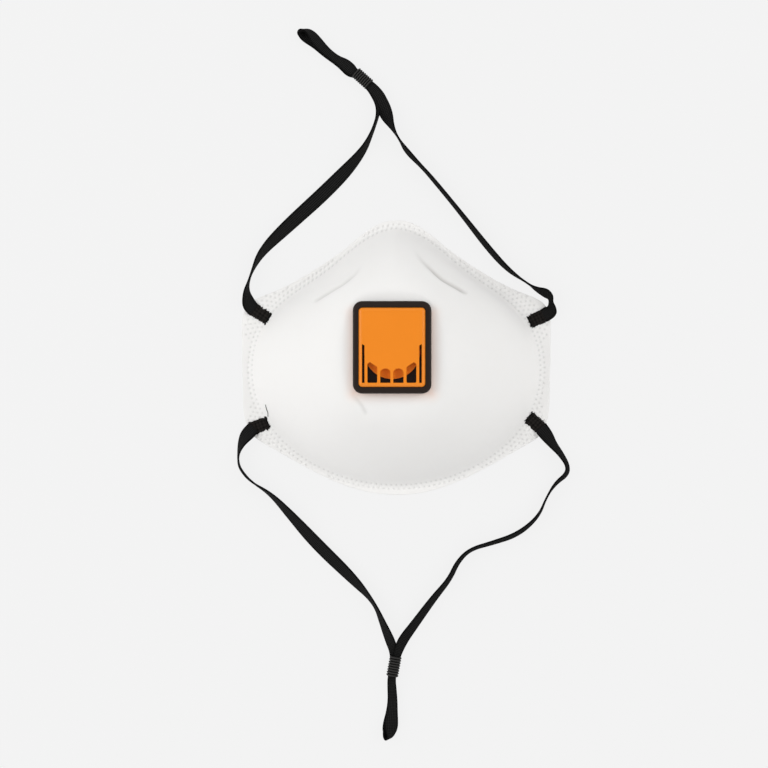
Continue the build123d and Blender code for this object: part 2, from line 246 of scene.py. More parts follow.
def unit(arrows):
    """The same directions at length 1."""
    return arrows / np.linalg.norm(arrows, axis=-1, keepdims=True)


def headings(line):
    """Unit directions along a line of points."""
    return unit(np.gradient(line, axis=0))


def gone_along(line):
    """Length of a line of points up to each of them."""
    return np.concatenate([[0], np.cumsum(np.linalg.norm(np.diff(line, axis=0), axis=1))])


def spokes(count, side, over):
    """Directions all the way round, in the plane of these two."""
    turns = np.linspace(0, 2 * math.pi, count, endpoint=False)
    return np.outer(np.cos(turns), side) + np.outer(np.sin(turns), over)


def pulse(value, width):
    """Bell curve of height 1."""
    return np.exp(-((value / width) ** 2))


def wave_field(places, wavelengths, seed):
    """Smooth unevenness between about -1 and 1 from a few plane waves in fixed directions."""
    waves = np.random.default_rng(seed)
    total = np.zeros(len(places))
    for length in wavelengths:
        turn, phase = waves.uniform(0, 2 * math.pi, 2)
        along = places[:, 0] * math.cos(turn) + places[:, 1] * math.sin(turn)
        total += np.sin(2 * math.pi * along / length + phase)
    return total / len(wavelengths)


# ---------------- cup surface
def foot_points(angles):
    """Where the cup meets the rim; angle 0 is the nose, a quarter turn the right cheek."""
    across, along = np.sin(angles), np.cos(angles)
    upper = np.clip(along, 0, None)
    pull = FOOT_WAIST * np.abs(across) ** WAIST_POWERS[0] * upper ** WAIST_POWERS[1]
    reach = np.where(along > 0, FOOT_NOSE, FOOT_CHIN)
    x = FOOT_HALF_WIDTH * across * (1 - pull)
    y = FOOT_CENTRE[1] + reach * along * (1 - pull)
    return np.stack([x, y], 1)


def boss_points(angles, inset):
    """The rounded boss under the valve, in the same direction as the foot points."""
    away = unit(foot_points(angles) - BOSS_CENTRE)
    shares = np.abs(away / (np.array(BOSS_HALF) - inset)) ** BOSS_POWER
    return BOSS_CENTRE + away * shares.sum(1)[:, None] ** (-1 / BOSS_POWER)


def hole_points(angles):
    """Edge of the round hole under the valve, in the same direction as the foot points."""
    return HOLE_CENTRE + HOLE_RADIUS * unit(foot_points(angles) - HOLE_CENTRE)


def rim_points(angles):
    """Cut edge of the rim in the direction of the foot points, with a hand-cut unevenness."""
    mirrored = [(-x, y) for x, y in reversed(RIM_HALF[1:-1])]
    outline = smooth_ring(RIM_HALF + mirrored, 24) - FOOT_CENTRE
    turns = np.arctan2(outline[:, 0], outline[:, 1])
    order = np.argsort(turns)
    away = foot_points(angles) - FOOT_CENTRE
    wanted = np.arctan2(away[:, 0], away[:, 1])
    reach = np.interp(
        wanted, turns[order], np.linalg.norm(outline, axis=1)[order], period=2 * math.pi
    )
    edge = FOOT_CENTRE + unit(away) * reach[:, None]
    return edge * (1 - 0.0012 * wave_field(edge, (3.1, 5.3, 9.0), 3)[:, None])


def even_angles(count):
    """Angles that space the foot points evenly along the foot line, from the nose."""
    dense = np.linspace(0, 2 * math.pi, 7201)
    gone = gone_along(foot_points(dense))
    return np.interp(np.arange(count) / count * gone[-1], gone, dense)


def wall_profile(level):
    """How far across and up the wall is at a level from 0 at its foot to 1 at the boss."""
    a, b = 3 * level * (1 - level) ** 2, 3 * level**2 * (1 - level)
    across = a * WALL_LOW[0] + b * WALL_HIGH[0] + level**3
    up = a * WALL_LOW[1] + b * WALL_HIGH[1] + level**3
    return across, up


def smooth_max(a, b, width):
    """The larger of two heights, eased where they are closer than the width."""
    near = np.clip(width - np.abs(a - b), 0, None) / width
    return np.maximum(a, b) + near**2 * width / 4


def from_nose(angles):
    """Degrees from the nose, on either side."""
    return np.degrees(np.minimum(angles % (2 * math.pi), -angles % (2 * math.pi)))


def cup_grid(angles, stations, skin):
    """Grid of surface points. Station -1 is the rim's edge, 0 the foot, 1 the boss, 2 the hole."""
    inset = skin["inset"]
    foot, rim = foot_points(angles), rim_points(angles)
    away = foot - FOOT_CENTRE
    length = np.linalg.norm(away, axis=1)[:, None]
    foot = FOOT_CENTRE + away * (length - inset) / length
    boss, hole = boss_points(angles, inset), hole_points(angles)
    top = CUP_HEIGHT - inset
    rise = top - skin["base"]
    wall_run = np.linalg.norm(boss - foot, axis=1)
    foot_slope = rise * WALL_LOW[1] / (WALL_LOW[0] * wall_run)
    boss_slope = rise * (1 - WALL_HIGH[1]) / ((1 - WALL_HIGH[0]) * wall_run)
    fillet = FILLET + FLANK_FILLET * pulse(from_nose(angles) - FLANK_TURN, FLANK_SPREAD)
    rows = []
    for station in stations:
        if station <= 0:
            flat = foot + (rim - foot) * -station
            wall = skin["base"] - foot_slope * np.linalg.norm(flat - foot, axis=1)
        elif station <= 1:
            across, up = wall_profile(station)
            flat = foot + (boss - foot) * across
            wall = np.full(len(angles), skin["base"] + rise * up)
        else:
            flat = boss + (hole - boss) * (station - 1)
            wall = top + boss_slope * np.linalg.norm(flat - boss, axis=1)
        eased = -smooth_max(-wall, -top, BOSS_EDGE)
        rows.append(np.column_stack([flat, smooth_max(eased, skin["rim"], fillet)]))
    return np.array(rows)


def grid_normals(grid):
    """Outward normals of a grid whose rings run from the rim up to the hole."""
    around = np.roll(grid, -1, 1) - np.roll(grid, 1, 1)
    up = np.gradient(grid, axis=0)
    normal = np.cross(up, around)
    return normal / np.maximum(np.linalg.norm(normal, axis=2), 1e-9)[:, :, None]


# ---------------- relief in the shell
def along_line(places, line):
    """Signed distance from a line of points, positive on its left, and the share along it."""
    line = np.asarray(line, float)
    gone = gone_along(line)
    best = np.full(len(places), 1e9)
    side, share = np.zeros(len(places)), np.zeros(len(places))
    for a, b, run, start in zip(line, line[1:], np.diff(gone), gone):
        way = (b - a) / run
        t = np.clip((places - a) @ way, 0, run)
        off = places - a - t[:, None] * way
        distance = np.linalg.norm(off, axis=1)
        closer = distance < best
        left = way[0] * off[:, 1] - way[1] * off[:, 0]
        best = np.where(closer, distance, best)
        side = np.where(closer, np.sign(left) * distance, side)
        share = np.where(closer, (start + t) / gone[-1], share)
    return side, share


def crease(places, line, outward, depth, width, peak):
    """Pressed groove that fades at both ends, with the web puffed up beside it, and where painted shade
    falls in the groove.
    """
    side, share = along_line(places, smooth_line(line))
    side = side * outward
    fade = np.clip(share / peak, 0, 1) ** 1.3 * np.clip((1 - share) / 0.1, 0, 1) ** 0.7
    groove = pulse(side, width)
    shoulder = pulse(side + 2.4, 2.6) * 0.35 - pulse(np.clip(side, 0, None) - 3.5, 3.5) * 0.55
    broad = fade * np.clip((1 - share) / 0.5, 0, 1)
    return depth * (broad * shoulder - fade * groove), fade * groove


def soft_fold(places, line, depth, offset, width):
    """Broad hollow beside a line, where the web gives way outside a crease."""
    side, share = along_line(places, smooth_line(line))
    fade = np.sin(math.pi * np.clip(share, 0, 1)) ** 0.7
    return -depth * fade * pulse(side - offset, width)


def shell_relief(places):
    """Height of the soft relief at plan places in mm, and how much painted shade each gets in the
    creases.
    """
    left, left_mark = crease(places, LEFT_CREASE, -1, 0.75, 0.75, 0.35)
    right, right_mark = crease(places, RIGHT_CREASE, 1, 0.85, 0.8, 0.45)
    wrinkle, wrinkle_mark = crease(places, CHIN_WRINKLE, 1, 0.3, 0.8, 0.4)
    uneven = 0.14 * wave_field(places, (19, 23, 31, 37, 44), 11)
    uneven += 0.03 * wave_field(places, (5.5, 6.9, 8.3), 12)
    bumps = 0.35 * pulse(np.linalg.norm(places - (28.8, -17.4), axis=1), 2.6)
    bumps += 0.25 * pulse(np.linalg.norm(places - (-9.9, -28.8), axis=1), 3.0)
    # Painted shade in the creases: lighter in the left one and in the chin wrinkle.
    marks = 0.55 * left_mark + right_mark + 0.4 * wrinkle_mark
    hollow = soft_fold(places, RIGHT_FOLD, 0.2, 4.0, 3.6)
    return left + right + wrinkle + hollow + uneven + bumps, marks


def weld_dots():
    """Plan places of the weld points, in staggered rows that fill the wider flange."""
    angles = even_angles(2 * DOTS)
    foot = foot_points(angles)
    away = np.roll(foot, -1, 0) - np.roll(foot, 1, 0)
    outward = unit(np.column_stack([-away[:, 1], away[:, 0]]))
    outward *= np.sign((outward * (foot - FOOT_CENTRE)).sum(1))[:, None]
    width = ((rim_points(angles) - foot) * outward).sum(1)
    rows_allowed = np.interp(from_nose(angles), *zip(*ROWS_BY_TURN))
    dots = []
    for row in range(MOST_ROWS):
        reach = FIRST_ROW + ROW_PITCH * row
        for i in range(row % 2, 2 * DOTS, 2):
            if row < rows_allowed[i] and reach < width[i] - BARE_EDGE:
                dots.append(foot[i] + outward[i] * reach)
    return np.array(dots)


def dot_strength(places, dots):
    """How strongly each place is pressed by a weld point; drawn out on the left nose flank."""
    tree = KDTree(len(dots))
    for i, dot in enumerate(dots):
        tree.insert((*dot, 0), i)
    tree.balance()
    nearest = np.array([tree.find((*place, 0))[1] for place in places])
    off = places - dots[nearest]
    drawn = np.clip((places[:, 1] - 24) / 8, 0, 1) * np.clip((2 - places[:, 0]) / 6, 0, 1)
    along, across = off @ STROKE, off @ (STROKE[1], -STROKE[0])
    distance = np.hypot(along * (1 - 0.45 * drawn), across * (1 + 0.15 * drawn))
    return pulse(distance, DOT_RADIUS)


# ---------------- shell pieces
WALL_STATIONS = np.concatenate([np.linspace(0.055, 0.3, 18), np.linspace(0.315, 1.0, 40)])
FOOT_STATIONS = np.linspace(0, 0.05, 8)[1:]
FLANGE_STATIONS = np.concatenate([np.linspace(-1, 0, 25), FOOT_STATIONS])
BOSS_STATIONS = np.array([1.12, 1.3, 1.55, 1.8, 2.0])
HIDDEN_STATIONS = np.concatenate([np.linspace(-0.97, 0, 5), np.linspace(0.04, 1, 22), [1.5, 2.0]])


def raised(grid, relief):
    """The grid moved along its normals by the relief."""
    return grid + grid_normals(grid) * relief.reshape(grid.shape[:2])[:, :, None]


def plan(grid):
    """Places of a grid's points seen from above."""
    return grid.reshape(-1, 3)[:, :2]


def soft_skin(count, stations, skin, calm, lift=0.0):
    """Grid of a skin with its soft relief, calmed at each station, and its crease marks."""
    grid = cup_grid(even_angles(count), stations, skin)
    relief, marks = shell_relief(plan(grid))
    return raised(grid, relief * np.repeat(calm, count) + lift), marks


def cut_edge(ring, grow, heights):
    """Copies of the outermost ring at these heights, grown a little, for a rounded cut edge."""
    share = 1 + grow / np.linalg.norm(ring[:, :2], axis=1)[:, None]
    return [np.column_stack([ring[:, :2] * share, np.full(len(ring), z)]) for z in heights]


def moulded_web(name, hidden, edge, flange, pressed, wall, crease_shade, turned=False):
    """Closed web of a hidden side, a cut edge, and a seen flange and wall with their marks."""
    blank = np.zeros(FINE)
    rows = [(ring, blank[:COARSE], blank[:COARSE]) for ring in hidden[::-1]]
    rows += [(ring, blank, blank) for ring in edge]
    rows += [(ring, marks, blank) for ring, marks in zip(flange, pressed.reshape(-1, FINE))]
    rows += [(ring, blank[:MID], marks) for ring, marks in zip(wall, crease_shade.reshape(-1, MID))]
    stack = Stack()
    for ring, _, _ in rows:
        stack.add(ring)
    faces = stack.faces + fan_faces(stack.last[0], 0, COARSE, MID // COARSE)
    if turned:
        faces = flipped(faces)
    piece = new_piece(name, stack.all_points(), faces, "mask", 60)
    point_attribute(piece, "pressed", np.concatenate([marks for _, marks, _ in rows]))
    point_attribute(piece, "crease_shade", np.concatenate([marks for _, _, marks in rows]))
    return piece


def make_outer_cover(dots):
    """Outer web with weld points, creases and a rounded cut edge, closed underneath."""
    fine = cup_grid(even_angles(FINE), FLANGE_STATIONS, COVER_OUTSIDE)
    soft, _ = shell_relief(plan(fine))
    pressed = dot_strength(plan(fine), dots)
    calm = np.clip(np.arange(len(fine)) / len(fine), 0.25, 1)
    fine = raised(fine, soft * np.repeat(calm, FINE) - DOT_DEPTH * pressed + 0.05)
    stations = np.concatenate([WALL_STATIONS, BOSS_STATIONS])
    calm = np.concatenate([np.ones(len(WALL_STATIONS)), np.linspace(0.6, 0, len(BOSS_STATIONS))])
    wall, marks = soft_skin(MID, stations, COVER_OUTSIDE, calm)
    calm = np.concatenate([np.full(5, 0.1), np.full(22, 1.0), [0.3, 0.0]])
    under, _ = soft_skin(COARSE, HIDDEN_STATIONS, COVER_INSIDE, calm)

    heights = (COVER_INSIDE["rim"] + 0.05, COVER_OUTSIDE["rim"] - COVER_EDGE)
    edge = cut_edge(fine[0], COVER_EDGE, heights)
    piece = moulded_web("moulded_outer_cover", under, edge, fine, pressed, wall, marks)
    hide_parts("outer_cover")
    return piece


def make_filter():
    """Melt-blown filter web between the cover and the liner, with a pocket for the nose clip."""
    stations = np.concatenate([np.linspace(-0.985, 0, 6), np.linspace(0.03, 1, 40), [1.5, 2.0]])
    calm = np.clip(stations * 4, 0.1, 1)
    outside, _ = soft_skin(MID, stations, COVER_INSIDE, calm, -0.02)
    inside, _ = soft_skin(MID, stations, LINER_OUTSIDE, calm, 0.02)
    low, high = box_mm("nose_clip")
    pocket = np.all((outside > low - 1) & (outside < high + 1), axis=2)[:, :, None]
    outside = np.where(pocket, inside + grid_normals(inside) * 0.05, outside)
    stack = Stack()
    for row in (*inside[::-1], *outside):
        stack.add(row)
    stack.faces += ring_faces(stack.last[0], 0, MID)
    piece = new_piece("moulded_filter", stack.all_points(), stack.faces, "mask", 60)
    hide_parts("filter_layer")
    return piece


def make_liner(dots):
    """Stiff inner shell, which rests on the table and shows from the wearer's side."""
    calm = np.clip(HIDDEN_STATIONS * 4, 0.1, 1)
    outside, _ = soft_skin(COARSE, HIDDEN_STATIONS, LINER_OUTSIDE, calm, -0.02)

    stations = np.concatenate([np.linspace(-1, 0, 17), FOOT_STATIONS[1::2]])
    fine = cup_grid(even_angles(FINE), stations, LINER_INSIDE)
    pressed = dot_strength(plan(fine), dots)
    fine = raised(fine, LINER_DOT_LIFT * pressed)
    fine[:, :, 2] = np.maximum(fine[:, :, 2], 0)

    stations = np.concatenate([np.linspace(0.055, 1, 44), [1.5, 2.0]])
    calm = np.concatenate([np.full(44, 0.7), [0.3, 0.0]])
    wall, marks = soft_skin(MID, stations, LINER_INSIDE, calm)
    edge = cut_edge(fine[0], LINER_EDGE, (LINER_OUTSIDE["rim"] - 0.05, 0.12))
    piece = moulded_web("moulded_inner_liner", outside, edge, fine, pressed, wall, marks, True)
    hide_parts("inner_liner")
    return piece


FOAM_HALF_TURN = 0.66         # radians round the cup on either side of the nose
FOAM_THICKNESS = 3.3


def make_nose_foam():
    """Soft foam strip with rounded edges, stuck inside the nose of the cup."""
    low, high = box_mm("nose_foam")
    skin = LINER_INSIDE
    heights = np.linspace(low[2] + 0.2, high[2] - 0.2, 22)
    levels = np.linspace(0, 1, 400)
    rises = wall_profile(levels)[1]
    rise = (heights - skin["base"]) / (CUP_HEIGHT - skin["inset"] - skin["base"])
    angles = np.linspace(-FOAM_HALF_TURN, FOAM_HALF_TURN, 121)
    glued = cup_grid(angles, np.interp(rise, rises, levels), skin)
    inward = unit(FOOT_CENTRE - glued[:, :, :2])
    across = np.linspace(-1, 1, len(heights))[:, None]
    along = np.linspace(-1, 1, len(angles))[None, :]
    rounding = (1 - np.abs(across) ** 5) ** 0.45 * (1 - np.abs(along) ** 14) ** 0.45
    free = glued.copy()
    free[:, :, :2] += inward * np.clip(FOAM_THICKNESS * rounding, 0.02, None)[:, :, None]
    points, faces = closed_block(glued, free)
    points[:, 2] = np.clip(points[:, 2], low[2], high[2])
    piece = new_piece("soft_nose_foam", points, faces, "mask")
    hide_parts("nose_foam")
    return piece


# ---------------- straps
# Each strap's control points in metres, with its roll in degrees (0 lies flat, 90 stands
# on its edge) and its width in millimetres, which narrows where it is gathered.
UPPER_STRAP = [
    (-0.064, 0.0215, 0.0026, 0, 6.0), (-0.0655, 0.0228, 0.003, 10, 6.4),
    (-0.0665, 0.0258, 0.0034, 42, 6.5), (-0.0671, 0.0298, 0.0035, 74, 6.5),
    (-0.0663, 0.0337, 0.0034, 94, 6.5), (-0.0646, 0.0388, 0.0034, 94, 6.5),
    (-0.0604, 0.0474, 0.0032, 62, 6.5), (-0.0495, 0.0583, 0.0024, 32, 6.5),
    (-0.0299, 0.0762, 0.0013, 12, 6.5), (-0.0156, 0.0912, 0.0032, 60, 6.4),
    (-0.0106, 0.101, 0.0034, 88, 6.0), (-0.0076, 0.1106, 0.0032, 84, 5.6),
    (-0.009, 0.1184, 0.0026, 20, 4.6), (-0.0151, 0.1247, 0.00225, 0, 3.2),
    (-0.0181, 0.127, 0.0022, 0, 3.4), (-0.0204, 0.1284, 0.0019, 0, 5.6),
    (-0.0232, 0.1311, 0.0013, 2, 5.4), (-0.0268, 0.1332, 0.001, 3, 3.7), (-0.0314, 0.1366, 0.001, 4, 4.0),
    (-0.0362, 0.1413, 0.0012, 8, 5.1), (-0.0399, 0.1434, 0.0014, 14, 5.0),
    (-0.0421, 0.1447, 0.0018, 26, 4.6), (-0.0433, 0.1458, 0.0026, 56, 4.2),
    (-0.0426, 0.1469, 0.0033, 86, 4.4), (-0.0405, 0.1469, 0.0036, 112, 4.8),
    (-0.0381, 0.1452, 0.0035, 138, 5.0), (-0.0358, 0.1419, 0.0032, 164, 5.1),
    (-0.0312, 0.1371, 0.0026, 176, 4.0), (-0.0266, 0.1337, 0.0026, 180, 3.7),
    (-0.023, 0.1315, 0.0029, 180, 5.4), (-0.0203, 0.129, 0.0031, 180, 5.6),
    (-0.018, 0.1275, 0.0032, 180, 3.4), (-0.0151, 0.1253, 0.0033, 180, 3.2),
    (-0.0086, 0.1188, 0.0037, 180, 5.4), (-0.006, 0.113, 0.0036, 182, 6.3),
    (-0.0042, 0.1084, 0.0035, 208, 6.5), (-0.0016, 0.103, 0.0034, 258, 6.5),
    (0.0012, 0.098, 0.0034, 274, 6.5), (0.0046, 0.0926, 0.0034, 252, 6.5),
    (0.011, 0.086, 0.0034, 264, 6.5), (0.0162, 0.0803, 0.0034, 260, 6.5),
    (0.0284, 0.0655, 0.0034, 259, 6.5), (0.0416, 0.0486, 0.0033, 249, 6.5),
    (0.0504, 0.039, 0.0033, 256, 6.5), (0.059, 0.0332, 0.0034, 278, 6.5),
    (0.0632, 0.0304, 0.0034, 256, 6.5), (0.067, 0.029, 0.0036, 232, 6.5),
    (0.0692, 0.0272, 0.0038, 248, 6.5), (0.0694, 0.0248, 0.0037, 262, 6.5),
    (0.0698, 0.0222, 0.0035, 232, 6.5), (0.069, 0.0202, 0.003, 188, 6.4),
    (0.0662, 0.0188, 0.0026, 180, 6.0),
]
LOWER_STRAP = [
    (-0.064, -0.0316, 0.0026, 0, 6.0), (-0.0664, -0.0338, 0.003, 12, 6.4),
    (-0.069, -0.0377, 0.0034, 48, 6.5), (-0.0706, -0.0422, 0.0035, 78, 6.5),
    (-0.0709, -0.0462, 0.0034, 84, 6.5), (-0.07, -0.05, 0.0034, 88, 6.5),
    (-0.0654, -0.0556, 0.0034, 88, 6.5), (-0.0564, -0.061, 0.0033, 72, 6.5),
    (-0.0478, -0.0702, 0.0028, 48, 6.5), (-0.0356, -0.0839, 0.0018, 24, 6.5),
    (-0.0196, -0.0992, 0.0024, 36, 6.5), (-0.0098, -0.1099, 0.0034, 80, 6.5),
    (-0.0056, -0.12, 0.0032, 58, 6.2), (-0.0028, -0.1268, 0.0028, 34, 5.4),
    (-0.001, -0.132, 0.0023, 10, 3.8), (-0.0012, -0.1386, 0.00225, 0, 3.2),
    (-0.0023, -0.144, 0.0021, 0, 3.5), (-0.0021, -0.149, 0.0015, 0, 3.8),
    (-0.0018, -0.154, 0.0011, 0, 4.2), (-0.0021, -0.1592, 0.0009, -3, 5.0),
    (-0.0028, -0.164, 0.001, -8, 6.2), (-0.0038, -0.1678, 0.0016, -26, 5.8),
    (-0.0048, -0.1702, 0.0026, -60, 5.0), (-0.0042, -0.1714, 0.003, -90, 4.8),
    (-0.0026, -0.1701, 0.0034, -118, 5.2), (-0.0022, -0.1672, 0.0036, -150, 6.0),
    (-0.0022, -0.1636, 0.0032, -172, 6.3), (-0.0018, -0.159, 0.0029, -178, 5.0),
    (-0.0015, -0.1538, 0.0027, -180, 4.2), (-0.0017, -0.149, 0.0029, -180, 3.8),
    (-0.002, -0.144, 0.0032, -180, 3.5), (-0.0009, -0.1385, 0.0033, -180, 3.2),
    (0.0008, -0.132, 0.0033, -170, 3.8), (0.0029, -0.1268, 0.0034, -146, 5.6),
    (0.0083, -0.1196, 0.0032, -129, 6.4), (0.0166, -0.1082, 0.0033, -120, 6.5),
    (0.024, -0.0994, 0.0033, -109, 6.5), (0.0274, -0.0918, 0.0034, -107, 6.5),
    (0.033, -0.086, 0.0034, -104, 6.5), (0.043, -0.0832, 0.0034, -108, 6.5),
    (0.0546, -0.0794, 0.0033, -112, 6.5), (0.0639, -0.0714, 0.0034, -102, 6.5),
    (0.0675, -0.0624, 0.0034, -92, 6.5), (0.0716, -0.0562, 0.0034, -104, 6.5),
    (0.0766, -0.0524, 0.0034, -110, 6.5), (0.077, -0.0484, 0.0034, -104, 6.5),
    (0.0738, -0.0432, 0.0034, -112, 6.5), (0.0703, -0.0391, 0.0033, -126, 6.5),
    (0.0674, -0.0348, 0.003, -154, 6.5), (0.0648, -0.0314, 0.0026, -180, 6.0),
]
STRAP_WIDTH = 6.5
STRAP_THICKNESS = 0.9
STRAP_RIBS = 7
STRAP_LOWEST = 0.02           # above the table
STRAPS = {"upper": (UPPER_STRAP, 0.340), "lower": (LOWER_STRAP, 0.345)}


def nurbs_line(points, resolution=10):
    """Points read from the smooth spline that has these as its control points."""
    curve = bpy.data.curves.new("route", "CURVE")
    curve.dimensions = "3D"
    curve.resolution_u = resolution
    spline = curve.splines.new("NURBS")
    spline.points.add(len(points) - 1)
    for point, place in zip(spline.points, points):
        point.co = (*place, 1.0)
    spline.order_u = 3
    spline.use_endpoint_u = True
    holder = bpy.data.objects.new("route", curve)
    mesh = bpy.data.meshes.new_from_object(holder)
    line = np.array([vertex.co for vertex in mesh.vertices])
    bpy.data.meshes.remove(mesh)
    bpy.data.objects.remove(holder)
    bpy.data.curves.remove(curve)
    return line


def strap_section(width, thickness):
    """Outline of the flat elastic: rounded edges and shallow ribs along its faces."""
    count = 4 * STRAP_RIBS
    shares = np.linspace(-1, 1, count + 1)
    ribs = 0.06 * np.cos(shares * STRAP_RIBS * math.pi)
    edge = np.sqrt(np.clip(1 - np.abs(shares) ** 9, 0.06, None))
    top = np.stack([shares * width / 2, (thickness / 2 + ribs - 0.06) * edge], 1)
    bottom = top[::-1] * (1, -1)
    return np.concatenate([top, bottom]), np.concatenate([shares, shares[::-1]])


def level_sides(ahead):
    """Sideways directions along a line that stay level and never swing over."""
    level = np.cross((0, 0, 1.0), ahead)
    steep = np.linalg.norm(level, axis=1)
    for i in range(1, len(level)):
        if steep[i] < 0.3:
            level[i] = level[i - 1]
    level = unit(level)
    for i in range(1, len(level)):
        if level[i] @ level[i - 1] < 0:
            level[i:] *= -1
    return level


def make_strap(node, route):
    """Elastic ribbon swept along its smooth route, rolling and narrowing as it goes."""
    line = nurbs_line([point[:3] for point in route])
    carried = nurbs_line([(roll / 100, width / 100, 0) for *_, roll, width in route]) * 100
    ahead = headings(line)
    level = level_sides(ahead)
    lift = np.cross(ahead, level)
    gone = gone_along(line)
    stack, across, along = Stack(), [], []
    for i in range(len(line)):
        roll, width = math.radians(carried[i, 0]), carried[i, 1]
        side = level[i] * math.cos(roll) + lift[i] * math.sin(roll)
        face = lift[i] * math.cos(roll) - level[i] * math.sin(roll)
        section, shares = strap_section(width, STRAP_THICKNESS)
        stack.add(line[i] / MM + section[:, :1] * side + section[:, 1:] * face)
        across.append(shares)
        along.append(np.full(len(section), gone[i] / MM))
    faces = stack.faces + end_caps(len(shares), len(line))
    points = stack.all_points()
    points[:, 2] = np.maximum(points[:, 2], STRAP_LOWEST)
    piece = new_piece("knitted_" + node, points, faces, None, 50)
    point_attribute(piece, "across", np.concatenate(across))
    point_attribute(piece, "along", np.concatenate(along))
    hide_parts(node)
    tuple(route[0][:3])
    return piece


# ---------------- toggles
TOGGLE_RINGS = 8
TOGGLE_TURNS = {"upper_toggle": 138.0, "lower_toggle": -100.6}
TOGGLE_LENGTHS = {"upper_toggle": 8.4, "lower_toggle": 9.2}
TOGGLE_BORE = 1.95
TOGGLE_CREST = 2.75
TOGGLE_RIB = 0.6
TOGGLE_MOUTH = 0.25


def toggle_profile(length):
    """Half section of the bead as place, radius and crest: round rings and a smooth bore."""
    samples = TOGGLE_RINGS * 10
    outside = []
    for i in range(samples + 1):
        share = i / samples
        crest = abs(math.sin(math.pi * share * TOGGLE_RINGS)) ** 0.8
        outside.append(((share - 0.5) * length, TOGGLE_CREST - TOGGLE_RIB * (1 - crest), crest))
    inside = [
        (length / 2 - TOGGLE_MOUTH * 0.2, TOGGLE_BORE + TOGGLE_MOUTH, 0.3),
        (length / 2 - TOGGLE_MOUTH, TOGGLE_BORE, 0.0),
    ]
    inside += [(-x, radius, crest) for x, radius, crest in reversed(inside)]
    return outside + inside


def toggle_frame(node):
    """Middle of a toggle, and its directions along the strap and across it."""
    low, high = box_mm(node)
    turn = math.radians(TOGGLE_TURNS[node])
    along = np.array([math.cos(turn), math.sin(turn), 0.0])
    return (low + high) / 2, along, np.array([-math.sin(turn), math.cos(turn), 0.0])


def make_toggle(node):
    """Ribbed rubber bead on the doubled strap."""
    centre, along, side = toggle_frame(node)
    segments = 64
    outward = spokes(segments, side, (0, 0, 1.0))
    stack = Stack()
    profile = toggle_profile(TOGGLE_LENGTHS[node])
    for place, radius, _ in profile:
        stack.add(centre + along * place + outward * radius)
    faces = stack.faces + ring_faces(stack.last[0], 0, segments)
    piece = new_piece("ribbed_" + node, stack.all_points(), faces, node, 75)
    point_attribute(piece, "crest", np.repeat([crest for _, _, crest in profile], segments))
    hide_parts(node)
    return piece


def stretch_to_toggle(strap):
    """Bakes the strap's placement into its mesh."""
    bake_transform(strap)


# ---------------- welds
WELD_ENDS = {
    "upper_left_strap_weld": ((-57.0, 16.9), (-65.1, 22.25)),
    "upper_right_strap_weld": ((59.6, 15.65), (67.5, 19.4)),
    "lower_left_strap_weld": ((-57.2, -29.0), (-65.3, -32.1)),
    "lower_right_strap_weld": ((59.2, -26.3), (65.5, -32.2)),
}
LOOSE_THREAD = [(-57.4, -26.6), (-57.3, -24.6), (-57.9, -23.0), (-58.2, -21.2)]
CRIMP_ROWS = 5
CRIMP_COLUMNS = 4
RAGGED_EDGE = 0.4
RAGGED_END = 0.35
THREAD_RADIUS = 0.16
WELD_THICKNESS = 0.62
CRIMP_DEPTH = 0.36
MELTED_BEAD = 0.16            # height of the bead along the cut end


def surface_below(piece):
    """Gives the height of a piece's upper surface at a plan place, the rim's beyond its edge."""
    places = [vertex.co / MM for vertex in piece.data.vertices]
    tree = BVHTree.FromPolygons(places, [polygon.vertices for polygon in piece.data.polygons])

    def height_at(x, y):
        place = tree.ray_cast(Vector((x, y, 90)), Vector((0, 0, -1)))[0]
        return COVER_OUTSIDE["rim"] if place is None else place.z

    return height_at


def tube_along(line, radius, sides=6):
    """Thin closed tube round a line of points, as points and faces."""
    line = smooth_line(line, 8)
    stack = Stack()
    for place, way in zip(line, headings(line)):
        side = np.cross(way, (0, 0, 1.0))
        stack.add(place + radius * spokes(sides, side, np.cross(side, way)))
    return stack.all_points(), stack.faces + end_caps(sides, len(line))


def ragged_plan(u, v, length, edge):
    """Distances along and across a strap end whose cut end and edges are a little torn."""
    rows, columns = u.shape
    kernel = np.ones(3) / 3
    torn = [np.convolve(line, kernel, "same") for line in edge.normal(0, 1, (2, columns))]
    pull = np.where(v > 0, torn[0][None, :], torn[1][None, :]) * RAGGED_EDGE * np.abs(v) ** 6
    ends = np.convolve(edge.normal(0, 1, rows), kernel, "same") * RAGGED_END
    x = u * length + (ends[:, None] + 0.1) * (1 - u) ** 8
    y = v * (STRAP_WIDTH / 2 - 0.15 - 0.3 * (1 - u)) + pull * (1 - 0.6 * u)
    return x, y


def crimp_marks(u, v, seed):
    """How deep the welding tool's grid has gone in, unevenly, and not at all past its end."""
    pattern_u = 0.5 + 0.5 * np.cos(2 * math.pi * CRIMP_ROWS * u / 0.86)
    pattern_v = 0.5 + 0.5 * np.cos(math.pi * CRIMP_COLUMNS * (v + 1))
    uneven = 0.75 + 0.25 * np.sin(9 * u + 3 * v + seed) * np.cos(5 * v - 7 * u)
    return np.clip((0.9 - u) / 0.12, 0, 1) * uneven * (pattern_u**2 * 0.7 + pattern_v**3 * 0.6)


